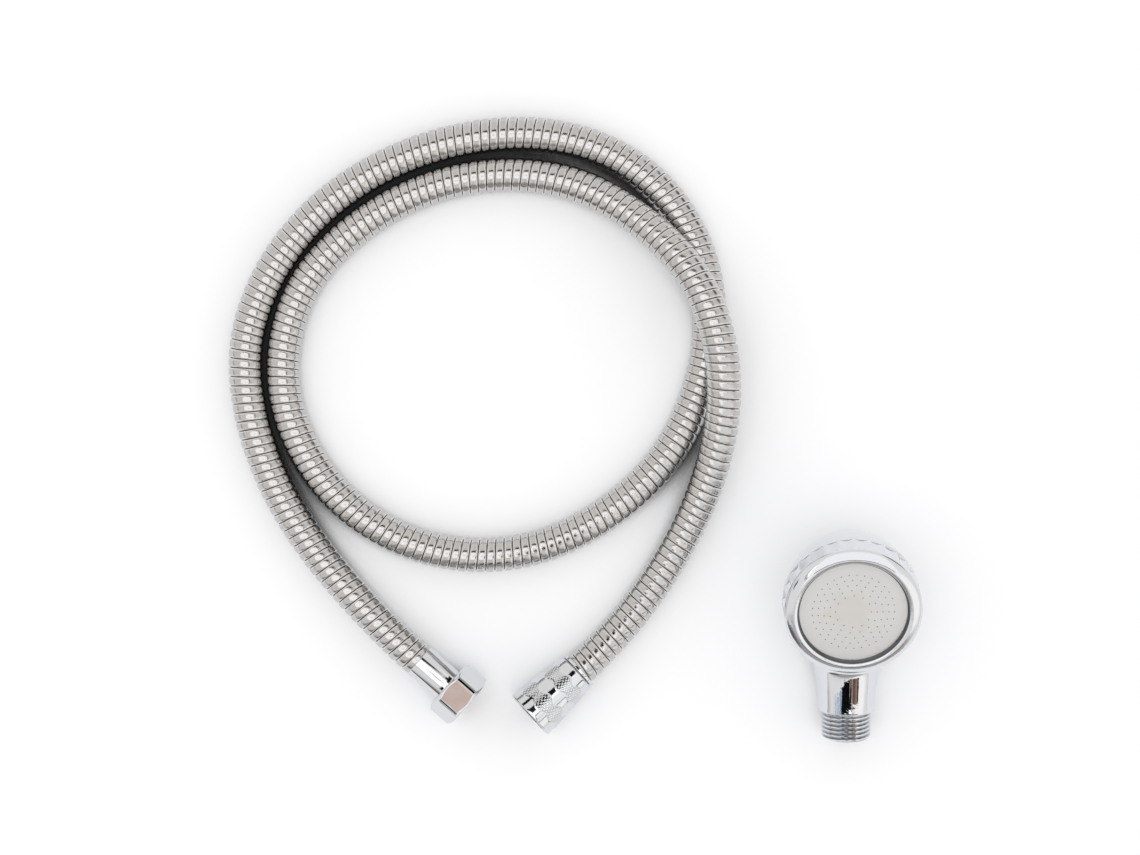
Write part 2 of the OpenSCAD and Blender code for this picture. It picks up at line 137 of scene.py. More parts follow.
# Length on the floor of the route's last step, and its rise along the cone nut's axis
LAST_RUN = 0.0081394
LAST_RISE = LAST_RUN * CONE_DIR[2] / math.hypot(*CONE_DIR[:2])
ROUTE = np.array([
    [-0.181, -0.011, HEX_Z], [-0.189, -0.004, HEX_Z], [-0.205, 0.012, 0.0102],
    [-0.225, 0.035, 0.008], [-0.242, 0.062, LOW], [-0.253, 0.093, LOW],
    [-0.255, 0.124, LOW], [-0.245, 0.153, LOW], [-0.226, 0.178, LOW],
    [-0.200, 0.197, LOW], [-0.169, 0.209, LOW], [-0.136, 0.213, LOW],
    [-0.105, 0.207, LOW], [-0.079, 0.190, LOW], [-0.062, 0.163, LOW],
    [-0.057, 0.131, LOW], [-0.063, 0.100, LOW], [-0.078, 0.072, LOW],
    [-0.102, 0.050, LOW], [-0.131, 0.036, LOW], [-0.162, 0.033, LOW],
    [-0.192, 0.041, LOW], [-0.218, 0.060, LOW], [-0.2355, 0.0885, LOW],
    [-0.2395, 0.119, LOW], [-0.2305, 0.1485, LOW], [-0.209, 0.172, LOW],
    [-0.1805, 0.1885, LOW], [-0.149, 0.1955, 0.0075], [-0.1165, 0.192, 0.0095],
    [-0.089, 0.177, 0.0145], [-0.066, 0.154, 0.0214], [-0.054, 0.125, 0.0234],
    [-0.052, 0.094, 0.0185], [-0.059, 0.063, 0.0115], [-0.073, 0.034, 0.0078],
    [-0.090, 0.009, LOW], [-0.107, -0.0095, CONE_END[2] - LAST_RISE], [-0.113, -0.015, CONE_END[2]],
])

CAMERA_AT = (-0.117, 0.0876, 1.3)

# The room's colour, and then each thing in it, from behind to in front: tone, middle and
# half width on the plane that build_world lays out, and the softness of its edge
ROOM = "#CAC8C6"
SKY = [
    ("#8E8B88", (-0.15, -0.86), (0.75, 0.36), 0.25),
    ("#A39C96", (-1.15, -0.30), (0.35, 0.60), 0.40),
    ("#E2DFDC", (0.42, -0.38), (0.30, 0.24), 0.30),
    ("#57504B", (0.76, 0.58), (0.24, 0.28), 0.30),
    ("#55504D", (-0.60, -0.76), (0.28, 0.14), 0.30),
    ("#221F1E", (0.02, 0.225), (0.20, 0.055), 0.20),
    ("#85786F", (-0.03, -0.06), (0.30, 0.24), 0.04),
    ("#FFFFFF", (-0.03, -0.06), (0.28, 0.22), 0.03),
    ("#5E534C", (0.235, -0.03), (0.036, 0.20), 0.30),
    ("#B5A196", (-0.022, -0.046), (0.034, 0.030), 0.70),
]

# Stripes of the flag in front of the inlet, from -X to +X: share of its width and tone
STRIPES = [
    (0.0, "#E4E8EC"), (0.08, "#C9D3DC"), (0.14, "#E9EDF0"), (0.22, "#A9B9C6"), (0.28, "#E3E8EC"),
    (0.34, "#8EA2B3"), (0.38, "#DDE5EB"), (0.42, "#7C90A2"), (0.455, "#B8C6D2"), (0.475, "#101316"),
    (0.60, "#0A0B0D"), (0.725, "#141110"), (0.735, "#C9BDB4"), (0.750, "#8A7365"), (0.80, "#5E4638"),
    (0.86, "#8A7365"), (0.91, "#9A8375"), (0.922, "#2A1E18"), (0.975, "#241A15"), (0.985, "#E8E4E0"),
    (1.0, "#F2F0EE"),
]
WHITE_CARD, BLACK_CARD, BROWN_CARD = (
    [(0.0, tone), (1.0, tone)] for tone in ("#FFFFFF", "#16120F", "#2B201A")
)
# Flags that only mirrors see: name, middle, half width and half depth, turn in degrees,
# how the far and the near edge bow, and stripes; lengths in metres
FLAGS = [
    ("striped flag", (-0.025, -0.066, 0.080), (0.0930, 0.0072), 0, (3.4, 1.7), STRIPES),
    ("white flag", (0.010, 0.025, 0.150), (0.080, 0.085), 0, (0, 0), WHITE_CARD),
    ("crest flag", (0.004, 0.002, 0.100), (0.034, 0.0042), 0, (0, 0), BROWN_CARD),
    ("hex flag right", (-0.1511, -0.0113, 0.035), (0.0064, 0.0135), -41.2, (0, 0), BLACK_CARD),
    ("hex flag left", (-0.1746, -0.0381, 0.035), (0.0064, 0.0072), -41.2, (0, 0), BLACK_CARD),
    ("cone flag", (-0.1162, 0.0088, 0.100), (0.0165, 0.0159), 42.5, (0, 0), BLACK_CARD),
]


# ---------------------------------------------------------------- grids and placing

def basis(axis, side):
    """Three columns: side made square to axis, axis x side, and axis."""
    z = np.array(axis, float) / np.linalg.norm(axis)
    x = np.array(side, float) - np.dot(side, z) * z
    x /= np.linalg.norm(x)
    return np.column_stack([x, np.cross(z, x), z])


def place(points, where):
    """Points in millimetres in a local frame, moved to metres in the shared frame."""
    origin, columns = where
    return np.asarray(points).reshape(-1, 3) @ columns.T * MM + origin


def face_frame():
    joint = JOINTS["ring_unscrew"]
    return np.array(joint["pos_m"]), basis(joint["axis"], (1, 0, 0))


def neck_frame():
    mount = MOUNTS["inlet_thread"]
    columns = basis(mount["axis"], (1, 0, 0))
    return np.array(mount["pos_m"]) - columns[:, 2] * INLET_MIDDLE * MM, columns


def cone_frame():
    return CONE_END, basis(CONE_DIR, (0, 0, 1))


def hex_frame():
    joint = JOINTS["hex_spin"]
    return np.array(joint["pos_m"]), basis(joint["axis"], (0, 0, 1))


def cells(rows, columns, wrap_rows=False, wrap_columns=True, first=0):
    """Corner numbers of each cell of a grid that is stored row by row."""
    r = np.arange(rows if wrap_rows else rows - 1)[:, None]
    c = np.arange(columns if wrap_columns else columns - 1)[None, :]
    below, right = (r + 1) % rows, (c + 1) % columns
    corners = [r * columns + c, r * columns + right, below * columns + right, below * columns + c]
    return first + np.stack(np.broadcast_arrays(*corners), -1).reshape(-1, 4)


def fan(ring, centre):
    """Triangles from each side of a ring of corner numbers to one centre."""
    return np.column_stack([ring, np.roll(ring, -1), np.full(len(ring), centre)])


def outward(points, parts):
    """Faces turned so that the sum of their signed tetrahedra is a positive volume."""
    volume = sum(
        np.einsum("ij,ij->", np.cross(points[f[:, 0]], points[f[:, k]]), points[f[:, k + 1]])
        for f in parts for k in range(1, f.shape[1] - 1)
    )
    return [f[:, ::-1] for f in parts] if volume < 0 else parts


def link_new(name, data):
    made = bpy.data.objects.new(name, data)
    bpy.context.scene.collection.objects.link(made)
    return made


def make_mesh(name, points, parts, body, slot, material, sharp=SHARP):
    """A piece from points in metres and arrays of faces, smooth below the sharp angle."""
    points = np.asarray(points, float)
    parts = outward(points, parts)
    mesh = bpy.data.meshes.new(name)
    mesh.vertices.add(len(points))
    mesh.vertices.foreach_set("co", points.ravel())
    mesh.loops.add(sum(f.size for f in parts))
    mesh.loops.foreach_set("vertex_index", np.concatenate([f.ravel() for f in parts]))
    sides = np.concatenate([np.full(len(f), f.shape[1]) for f in parts])
    mesh.polygons.add(len(sides))
    mesh.polygons.foreach_set("loop_start", np.concatenate([[0], np.cumsum(sides)[:-1]]))
    mesh.update(calc_edges=True)
    if mesh.validate():
        raise RuntimeError(f"{name}: the mesh had faulty faces")
    mesh.shade_smooth()
    mesh.set_sharp_from_angle(angle=math.radians(sharp))
    piece = link_new(name, mesh)
    mesh.materials.append(bpy.data.materials[material])
    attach(piece, body)
    return piece


def set_painted_shade(piece, depth):
    """Writes how much painted shade darkens each corner of a piece, 0 to 1, as an attribute that the
    chrome materials read.
    """
    painted_shade = piece.data.attributes.new("painted_shade", "FLOAT", "POINT")
    painted_shade.data.foreach_set("value", np.asarray(depth, float).ravel())


def around(radius, angles, z):
    """Each radius at each angle and height is the point (r cos a, r sin a, z)."""
    return np.stack(np.broadcast_arrays(radius * np.cos(angles), radius * np.sin(angles), z), -1)


def turned(profile, angles):
    """Surface of turning: each (r, z) of the profile at every angle."""
    profile = np.asarray(profile, float)
    return around(profile[:, :1], angles, profile[:, 1:])


def make_ring(name, grid, where, body, look, sharp=SHARP):
    """A piece from a grid that closes on itself round its axis and along its outline.
    The look is its slot, which is not used, and its material."""
    faces = cells(len(grid), grid.shape[1], wrap_rows=True)
    return make_mesh(name, place(grid, where), [faces], body, *look, sharp)


def circle(count):
    return np.arange(count) * 2 * math.pi / count


def smooth_min(a, b, k):
    """The smaller of two values, with the corner between them rounded over a width k."""
    return np.minimum(a, b) - np.maximum(k - np.abs(a - b), 0) ** 2 / (4 * k)


def smooth_max(a, b, k):
    return -smooth_min(-a, -b, k)


def smooth_step(x):
    """0 below 0, 1 above 1 and 3x^2 - 2x^3 between them."""
    x = np.clip(x, 0, 1)
    return x * x * (3 - 2 * x)


def rounded(corners, radius, steps=5):
    """Closed outline through corners with each one cut by a quadratic curve that starts and
    ends radius away from it, or less where a side is short."""
    p = np.asarray(corners, float)
    to_before, to_after = np.roll(p, 1, axis=0) - p, np.roll(p, -1, axis=0) - p
    len_b = np.linalg.norm(to_before, axis=1, keepdims=True)
    len_a = np.linalg.norm(to_after, axis=1, keepdims=True)
    cut = np.minimum(np.minimum(len_b, len_a) * 0.45, radius)
    a, b = p + to_before / len_b * cut, p + to_after / len_a * cut
    t = np.linspace(0, 1, steps)[None, :, None]
    curve = (1 - t) ** 2 * a[:, None] + 2 * t * (1 - t) * p[:, None] + t ** 2 * b[:, None]
    return curve.reshape(-1, 2)


def threaded(z, angles, fade):
    """Wave and radius of a rounded thread at each height and angle. The wave runs root,
    flank, crest, flank, 0 to 1, once for each whole number of z / pitch - angle / 360.
    The radius is the minor one + depth x wave x fade."""
    turns = z[:, None] / THREAD_PITCH - angles / (2 * math.pi)
    wave = smooth_step((np.abs((turns % 1) * 2 - 1) - 0.24) / 0.52)
    return wave, THREAD_ROOT_R + (THREAD_R - THREAD_ROOT_R) * wave * fade[:, None]


# ---------------------------------------------------------------- materials

def colour(value):
    """Linear red, green, blue and alpha of an sRGB hex colour."""
    parts = [int(value[i:i + 2], 16) / 255 for i in (1, 3, 5)]
    return [p / 12.92 if p <= 0.04045 else ((p + 0.055) / 1.055) ** 2.4 for p in parts] + [1.0]


def node(tree, kind, inputs=(), **settings):
    """A node with its settings and links. Inputs are a list in the node's own order or a
    dictionary by name, where of those that share a name the one in use counts. Each is a
    value, a socket, or a node that feeds it from its first output in use."""
    made = tree.nodes.new("ShaderNode" + kind)
    for key, value in settings.items():
        setattr(made, key, value)
    for key, value in inputs.items() if isinstance(inputs, dict) else enumerate(inputs):
        if isinstance(key, int):
            socket = made.inputs[key]
        else:
            socket = next(s for s in made.inputs if s.name == key and s.enabled)
        if isinstance(value, bpy.types.Node):
            value = next(s for s in value.outputs if s.enabled)
        if isinstance(value, bpy.types.NodeSocket):
            tree.links.new(value, socket)
        else:
            socket.default_value = value
    return made


def set_ramp(ramp_node, stops):
    """Fills a colour ramp with (position, hex colour) stops, in rising order."""
    stops_made = ramp_node.color_ramp.elements
    while len(stops_made) > 1:
        stops_made.remove(stops_made[-1])
    stops_made[0].position = stops[0][0]
    stops_made[0].color = colour(stops[0][1])
    for at, value in stops[1:]:
        stops_made.new(at).color = colour(value)


def start_material(name):
    material = bpy.data.materials.new(name)
    material.use_nodes = True
    material.node_tree.nodes.clear()
    return material.node_tree


def end_surface(tree, base, metallic, roughness, height, strength, distance):
    """The material's shader, with a bump that is distance metres high at strength 1."""
    bump = node(tree, "Bump", {"Height": height, "Strength": strength, "Distance": distance})
    shader = node(tree, "BsdfPrincipled", {
        "Base Color": base, "Metallic": metallic, "Roughness": roughness, "Normal": bump,
    })
    node(tree, "OutputMaterial", [shader])


def chrome(name, tint, low, high, scale, ripple):
    """Bright chrome plate: a mirror whose roughness drifts between low and high.

    The plate is laid over copper and nickel on a moulded or machined piece. It levels
    the tool marks but not the piece's slow waves, so the eye gets a cold, hard mirror
    whose reflections swim a little."""
    tree = start_material(name)
    where = node(tree, "TexCoord").outputs["Object"]
    drift = node(tree, "TexNoise", {"Vector": where, "Scale": scale, "Detail": 3.0})
    rough = node(tree, "MapRange", [drift, 0.35, 0.65, low, high])
    # Painted shade: where this attribute is 1, in grooves and seams, the plate's colour is darkened
    # towards near black
    painted_shade = node(tree, "Attribute", attribute_name="painted_shade").outputs["Fac"]
    tones = {"Factor": painted_shade, "A": colour(tint), "B": colour("#24262A")}
    plate = node(tree, "Mix", tones, data_type="RGBA")
    # Ripples a few millimetres long and a few hundredths high
    wave = node(tree, "TexNoise", {"Vector": where, "Scale": 420.0, "Detail": 2.0})
    end_surface(tree, plate, 1.0, rough, wave, 1.0, ripple)


def steel_strip(name, tint):
    """Cold-rolled stainless strip, wound into a casing: streaks run along the strip, the gap between two
    turns gets painted shade and both edges of the strip a painted highlight. The attribute strip gives
    turns, share of the width and height.

    The rolls draw fine lines along the strip, and winding polishes only its crown, so the
    eye gets a grey metal with smeared, broken highlights across every turn."""
    tree = start_material(name)
    where = node(tree, "Attribute", attribute_name="strip").outputs["Vector"]
    height = node(tree, "SeparateXYZ", [where]).outputs["Z"]
    # A streak is about 0.1 mm wide and runs for a quarter of a turn
    drawn = node(tree, "VectorMath", [where, (4.0, 26.0, 0.0)], operation="MULTIPLY")
    fine = {"Vector": drawn, "Scale": 1.0, "Detail": 3.0, "Roughness": 0.6}
    streaks = node(tree, "TexNoise", fine)
    tone = node(tree, "MapRange", [streaks, 0.3, 0.7, 0.84, 1.0])
    # Painted shade in the gap between two turns: where the profile is low the colour darkens towards
    # near black
    gap = node(tree, "MapRange", [height, 0.05, 0.5, 0.14, 1.0], interpolation_type="SMOOTHSTEP")
    shade = node(tree, "Math", [tone, gap], operation="MULTIPLY")
    # Both edges of the strip are rolled over; a painted highlight lightens them
    edge = node(tree, "MapRange", [height, 0.99, 0.8])
    tones = {"Factor": edge, "A": colour(tint), "B": colour("#DEDDDB")}
    steel = node(tree, "Mix", tones, data_type="RGBA")
    tones = {"Factor": shade, "A": colour("#0B0A0A"), "B": steel}
    steel = node(tree, "Mix", tones, data_type="RGBA")
    rough = node(tree, "MapRange", [streaks, 0.3, 0.7, 0.19, 0.10])
    end_surface(tree, steel, 1.0, rough, streaks, 0.5, 0.00003)


def plain(name, tint, metallic, roughness, scale, depth):
    """A simple moulded or machined finish: mottled roughness and a fine grain.

    Rubber and acetal take the fine grain of their mould and look dull; brass keeps the
    tool's feed marks and gives soft, wide highlights. The grain is half a millimetre or
    so, coarser than a real mould's, which would be too fine to be seen."""
    tree = start_material(name)
    where = node(tree, "TexCoord").outputs["Object"]
    grain = node(tree, "TexNoise", {"Vector": where, "Scale": scale, "Detail": 4.0})
    rough = node(tree, "MapRange", [grain, 0.0, 1.0, roughness - 0.08, roughness + 0.08])
    end_surface(tree, colour(tint), metallic, rough, grain, 0.3, depth)


def spray_sheet(name, tint):
    """Satin stainless sheet: an even, fine grain, a faint warm stain towards the middle and painted
    shade, near black, on the walls inside the punched holes, whose normals lie in the sheet.

    The sheet is blasted after punching, which scatters what it mirrors, so the eye gets
    an even, paper-like grey that hardly changes with the view. Hard water that dries on
    it leaves the stain."""
    tree = start_material(name)
    here = node(tree, "TexCoord")
    where = here.outputs["Object"]
    middle, columns = face_frame()
    # Distance from the middle plus a cloud of 6 mm waves: the stain fades 2 to 16 mm away
    off = node(tree, "VectorMath", [where, tuple(middle)], operation="DISTANCE")
    cloud = node(tree, "TexNoise", {"Vector": where, "Scale": 160.0, "Detail": 3.0})
    spread = node(tree, "Math", [cloud, 0.02, off], operation="MULTIPLY_ADD")
    warm = node(tree, "MapRange", [spread, 0.026, 0.012], interpolation_type="SMOOTHSTEP")
    tones = {"Factor": warm, "A": colour(tint), "B": colour("#DAD9D5")}
    stained = node(tree, "Mix", tones, data_type="RGBA")
    # Painted shade: where the normal turns away from the face's axis, as on the hole walls, the colour
    # darkens to near black
    facing = [here.outputs["Normal"], tuple(columns[:, 2])]
    level = node(tree, "VectorMath", facing, operation="DOT_PRODUCT")
    level = node(tree, "MapRange", [level, 0.4, 0.8])
    tones = {"Factor": level, "A": colour("#080808"), "B": stained}
    steel = node(tree, "Mix", tones, data_type="RGBA")
    grain = node(tree, "TexNoise", {"Vector": where, "Scale": 1600.0, "Detail": 3.0})
    end_surface(tree, steel, 0.6, 0.5, grain, 0.3, 0.00003)


# ---------------------------------------------------------------- hose

def spline(points, samples, weight):
    """Smooth curve along points: (1 - weight) Catmull-Rom + weight uniform B-spline.
    Between points p1 and p2 each is a cubic in t with its own matrix over p0..p3."""
    p = np.vstack([2 * points[0] - points[1], points, 2 * points[-1] - points[-2]])
    t = np.linspace(0, 1, samples, endpoint=False)
    powers = np.stack([np.ones_like(t), t, t ** 2, t ** 3], 1)
    catmull = np.array([[0, 2, 0, 0], [-1, 0, 1, 0], [2, -5, 4, -1], [-1, 3, -3, 1]]) / 2
    b_spline = np.array([[1, 4, 1, 0], [-3, 0, 3, 0], [3, -6, 3, 0], [-1, 3, -3, 1]]) / 6
    near = np.stack([p[:-3], p[1:-2], p[2:-1], p[3:]], 1)
    curve = np.einsum("tm,mk,nkd->ntd", powers, (1 - weight) * catmull + weight * b_spline, near)
    return np.vstack([curve.reshape(-1, 3), points[-1:]])


def hose_line():
    """Centre line of the hose, in metres, evenly spaced, no lower than its radius."""
    samples, softness, fade_in, count = 24, 0.35, 0.06, 1200
    # The ends keep to the fittings' axes, so the blend fades in after the first points
    line = spline(ROUTE, samples, 0.0)
    soft = spline(ROUTE, samples, softness)
    along = np.linspace(0, 1, len(line))[:, None]
    fade = smooth_step(along / fade_in) * smooth_step((1 - along) / fade_in)
    line = line + (soft - line) * fade
    line[:, 2] = np.maximum(line[:, 2], LOW)
    length = np.concatenate([[0], np.cumsum(np.linalg.norm(np.diff(line, axis=0), axis=1))])
    even = np.linspace(0, length[-1], count)
    return np.column_stack([np.interp(even, length, line[:, k]) for k in range(3)]), length[-1]


def carried(line, total, along, radius, angle):
    """Points at a distance along the line and at an angle round it: the side, at angle
    0, is heading x world Z, and the top, at 90 degrees, is side x heading."""
    steps = np.linspace(0, total, len(line))
    heading = np.gradient(line, axis=0)
    heading /= np.linalg.norm(heading, axis=1, keepdims=True)
    side = np.cross(heading, [0, 0, 1])
    side /= np.linalg.norm(side, axis=1, keepdims=True)
    top = np.cross(side, heading)
    middle, side, top = (
        np.stack([np.interp(along, steps, table[:, k]) for k in range(3)], -1)
        for table in (line, side, top)
    )
    across, up = radius * np.cos(angle), radius * np.sin(angle)
    return (middle + side * across[..., None] + top * up[..., None]).reshape(-1, 3)


# Profile of the strip: share of the pitch, and height above the groove's floor, 0 to 1
STRIP_SHAPE = np.array([
    [0.000, 0.00], [0.030, 0.20], [0.060, 0.48], [0.100, 0.70], [0.160, 0.85],
    [0.220, 0.91], [0.262, 0.96], [0.330, 0.99], [0.480, 1.00], [0.640, 0.99],
    [0.760, 0.96], [0.850, 0.88], [0.915, 0.73], [0.965, 0.42],
])


def build_casing(sizes):
    """Strip-wound casing. Its surface is one ribbon wound as a helix: step j turns by
    360/steps degrees, and a point of the strip's profile at share s of the pitch lies at
    (j/steps + s) pitches along the hose and at the height that the profile gives."""
    line, total = hose_line()
    steps = sizes.casing_steps
    turns = int(total / sizes.strip_pitch)
    pitch = total / turns
    share, height = STRIP_SHAPE.T
    rows = len(STRIP_SHAPE)
    j = np.arange((turns + 1) * steps + 1)
    along = (j[:, None] / steps + share - 0.5) * pitch
    inside = ((along > 0) & (along < total)).ravel()
    radius = LOW - sizes.groove_depth * (1 - height)
    points = carried(line, total, np.clip(along, 0, total), radius, j[:, None] * 2 * math.pi / steps)
    number = np.arange(j.size * rows).reshape(j.size, rows)
    # Cells of the strip itself, and those that join its edge to the next turn's
    strip = np.stack([number[:-1, :-1], number[1:, :-1], number[1:, 1:], number[:-1, 1:]], -1)
    edge, next_edge = number[:j.size - steps, -1], number[steps:, 0]
    joint = np.stack([edge[:-1], edge[1:], next_edge[1:], next_edge[:-1]], -1)
    faces = np.concatenate([strip.reshape(-1, 4), joint])
    faces = faces[inside[faces].any(axis=1)]
    used = np.unique(faces)
    renumber = np.zeros(len(points), int)
    renumber[used] = np.arange(used.size)
    casing = make_mesh("casing", points[used], [renumber[faces]], "hose",
                       "casing_steel", "polished steel strip", 60)
    # Place on the strip: turns wound, share of the width, and height in the profile
    wound = np.stack(np.broadcast_arrays(j[:, None] / steps, share, height), -1)
    strip_place = casing.data.attributes.new("strip", "FLOAT_VECTOR", "POINT")
    strip_place.data.foreach_set("vector", wound.reshape(-1, 3)[used].ravel())
    close_holes(casing)
    return casing, line


def close_holes(piece):
    """Merges doubled corners and closes each open edge loop with one face."""
    mesh = bmesh.new()
    mesh.from_mesh(piece.data)
    bmesh.ops.remove_doubles(mesh, verts=mesh.verts, dist=1e-7)
    bmesh.ops.holes_fill(mesh, edges=[e for e in mesh.edges if e.is_boundary], sides=0)
    mesh.to_mesh(piece.data)
    mesh.free()


def build_tube(radius, wall):
    """Water tube along the hose's line: circles along its outside and back along its inside."""
    line, total = hose_line()
    rows, columns = 600, 24
    along = np.linspace(0, total, rows)
    along = np.concatenate([along, along[::-1]])[:, None] * np.ones(columns)
    radii = np.repeat([radius, radius - wall], rows)[:, None]
    points = carried(line, total, along, radii, circle(columns))
    faces = cells(2 * rows, columns, wrap_rows=True)
    return make_mesh("water_tube", points, [faces], "hose", "liner_rubber", "EPDM tube")


# ---------------------------------------------------------------- sprayer head

def flared(t):
    """Radius of the neck at t: a circle of radius FLARE_R that meets the collar
    without a corner, held constant before the flare starts."""
    back = np.clip(COLLAR_AT - t, 0, FLARE_LEN)
    return COLLAR_R + FLARE_R - np.sqrt(FLARE_R ** 2 - back ** 2)


def build_body(sizes):
    """Domed back, neck and collar as one surface, star-shaped about the foot of the
    neck's axis. Along each ray the distance is the larger of that to the dome, an
    ellipsoid, and that to the flared neck, with a fillet between them. The pocket of
    the ring, the chamber and the waterway are cut out of it."""
    # Rows run round the collar's rim, down the neck and over the dome to its back
    edge = np.linspace(90, 0, 7)[:-1] * math.pi / 180
    neck = np.linspace(COLLAR_AT - COLLAR_ROUND, 2.0, 118)
    r = np.concatenate([COLLAR_R - COLLAR_ROUND + COLLAR_ROUND * np.cos(edge), flared(neck)])
    t = np.concatenate([COLLAR_AT - COLLAR_ROUND + COLLAR_ROUND * np.sin(edge), neck])
    phi, reach = np.arctan2(r, t), np.hypot(r, t)
    dome = np.linspace(phi[-1], math.pi, 130)[1:-1]
    phi, reach = np.concatenate([phi, dome]), np.concatenate([reach, np.zeros_like(dome)])
    # Columns stand closer together beside the parting line, at 90 and 270 degrees
    fine = np.array([0, 0.5, 1.0, 1.5, 2.2, 3.2, 4.4, 5.8, 7.4]) * math.pi / 180
    coarse = np.linspace(9.2, 170.8, 118) * math.pi / 180
    half_turn = np.concatenate([fine, coarse, math.pi - fine[:0:-1]])
    theta = np.concatenate([half_turn, half_turn + math.pi]) + math.pi / 2

    ray = around(np.sin(phi)[:, None], theta, np.cos(phi)[:, None])
    x, y, z = np.moveaxis(ray, -1, 0)
    # The same directions and the foot, in the face frame
    lean_sin, lean_cos = math.sin(LEAN), math.cos(LEAN)
    u = np.stack([x, y * lean_sin - z * lean_cos, y * lean_cos + z * lean_sin], -1)
    foot = np.array([0, -NECK_OFFSET * lean_sin, -NECK_OFFSET * lean_cos])
    # Where a ray from the foot meets the ellipsoid: a s^2 + 2 b s + c = 0
    half = np.array([DOME_R, DOME_R, DOME_H])
    q = (foot + [0, 0, DOME_START]) / half
    u_q = u / half
    a, b, c = (u_q ** 2).sum(-1), (u_q * q).sum(-1), (q ** 2).sum() - 1
    to_dome = (-b + np.sqrt(b * b - a * c)) / a
    away = smooth_max(to_dome, reach[:, None], mm(sizes.neck_fillet))
    # The parting line fades out on the dome, 22 to 30 degrees off the neck's axis
    aside = (theta - math.pi / 2 + math.pi) % (2 * math.pi) - math.pi
    ridge = mm(sizes.parting_height) * np.exp(-aside ** 2 / (2 * math.radians(0.8) ** 2))
    on_neck = smooth_step((30 - phi * 180 / math.pi) / 8)[:, None]
    away = away + ridge * on_neck * (phi > phi[len(edge)])[:, None]
    grid = ray * away[..., None]
    rows, columns = grid.shape[:2]
    ends = [[0, 0, -to_dome[-1].mean()], [0, 0, COLLAR_AT]]
    count = rows * columns
    body = make_mesh("body_shell", place(np.vstack([grid.reshape(-1, 3), ends]), neck_frame()), [
        cells(rows, columns), fan(np.arange(count - columns, count), count),
        fan(np.arange(columns)[::-1], count + 1),
    ], "head", *PLATED_PLASTIC)

    # The chamber follows the dome, a wall's thickness inside it, up to the web under the seal
    web = SHOULDER_Z - 2.5
    inner = np.linspace(-math.pi / 2, 0, 60)[1:]
    r_in, h_in = DOME_R - BODY_WALL, DOME_H - BODY_WALL
    wall = np.column_stack([r_in * np.cos(inner), -DOME_START + h_in * np.sin(inner)])
    r_web = r_in * math.sqrt(1 - ((web + DOME_START) / h_in) ** 2)
    bend = np.linspace(0, math.pi / 2, 8)
    # High enough to clear all of the dome above the shoulder
    above = 40
    outline = np.concatenate([
        wall[wall[:, 1] < web],
        [[r_web, web], [SEAL_BORE_R, web], [SEAL_BORE_R, SPIGOT_Z + 0.2], [SEAL_BORE_R + 0.2, SPIGOT_Z],
         [SPIGOT_R - 0.4, SPIGOT_Z], [SPIGOT_R, SPIGOT_Z - 0.4], [SPIGOT_R, SHOULDER_Z]],
        np.column_stack([HEAD_R - 0.45 + 0.5 * np.sin(bend), SHOULDER_Z - 0.5 + 0.5 * np.cos(bend)]),
        [[HEAD_R + 0.5, SHOULDER_Z - 0.5], [HEAD_R + 0.5, above]],
    ])
    cut_turned(body, outline, -DOME_START - h_in, above, face_frame(), 240)
    low, high = 8, COLLAR_AT + 3
    cut_turned(body, [[WATERWAY_R, low], [WATERWAY_R, high]], low, high, neck_frame(), 96)
    body.data.shade_smooth()
    body.data.set_sharp_from_angle(angle=math.radians(SHARP))
    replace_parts(body, "head_shell")


def cut_turned(piece, outline, low, high, where, columns):
    """Takes a turned solid, closed on its axis at the heights low and high, from a piece."""
    grid = turned(outline, circle(columns))
    count = grid.shape[0] * columns
    points = place(np.vstack([grid.reshape(-1, 3), [[0, 0, low], [0, 0, high]]]), where)
    parts = outward(points, [
        cells(grid.shape[0], columns), fan(np.arange(columns)[::-1], count),
        fan(np.arange(count - columns, count), count + 1),
    ])
    mesh = bpy.data.meshes.new("cutter")
    mesh.from_pydata(points.tolist(), [], [f for part in parts for f in part.tolist()])
    tool = link_new("cutter", mesh)
    cut = piece.modifiers.new("cut", "BOOLEAN")
    cut.operation, cut.solver, cut.object = "DIFFERENCE", "EXACT", tool
    seen = bpy.context.evaluated_depsgraph_get()
    done = bpy.data.meshes.new_from_object(piece.evaluated_get(seen))
    piece.modifiers.clear()
    old, piece.data = piece.data, done
    bpy.data.meshes.remove(old)
    bpy.data.objects.remove(tool)
    bpy.data.meshes.remove(mesh)


def build_inlet():
    """Inlet: a sleeve that is threaded outside. The thread fades out at the collar and is
    cut back by the chamfer at the end."""
    start, rim = COLLAR_AT - 1.5, THREAD_END - 1.0
    t = np.linspace(COLLAR_AT, THREAD_END, 120)
    angles = circle(192)
    fade = smooth_step((t - COLLAR_AT - 0.5) / 0.7)
    wave, radius = threaded(t, angles, fade)
    radius = smooth_min(radius, (THREAD_R - np.maximum(t - rim, 0) * 1.15)[:, None], 0.15)
    inner = turned([[WATERWAY_R + 0.5, THREAD_END], [WATERWAY_R, THREAD_END - 0.5],
                    [WATERWAY_R, start], [THREAD_ROOT_R, start]], angles)
    grid = np.concatenate([around(radius, angles, t[:, None]), inner])
    inlet = make_ring("inlet_thread", grid, neck_frame(), "head", PLATED_PLASTIC)
    # Painted shade in the roots of the thread, fading out at the collar
    groove = np.zeros(grid.shape[:2])
    groove[:len(t)] = 0.45 * (1 - wave) ** 2 * fade[:, None]
    set_painted_shade(inlet, groove)


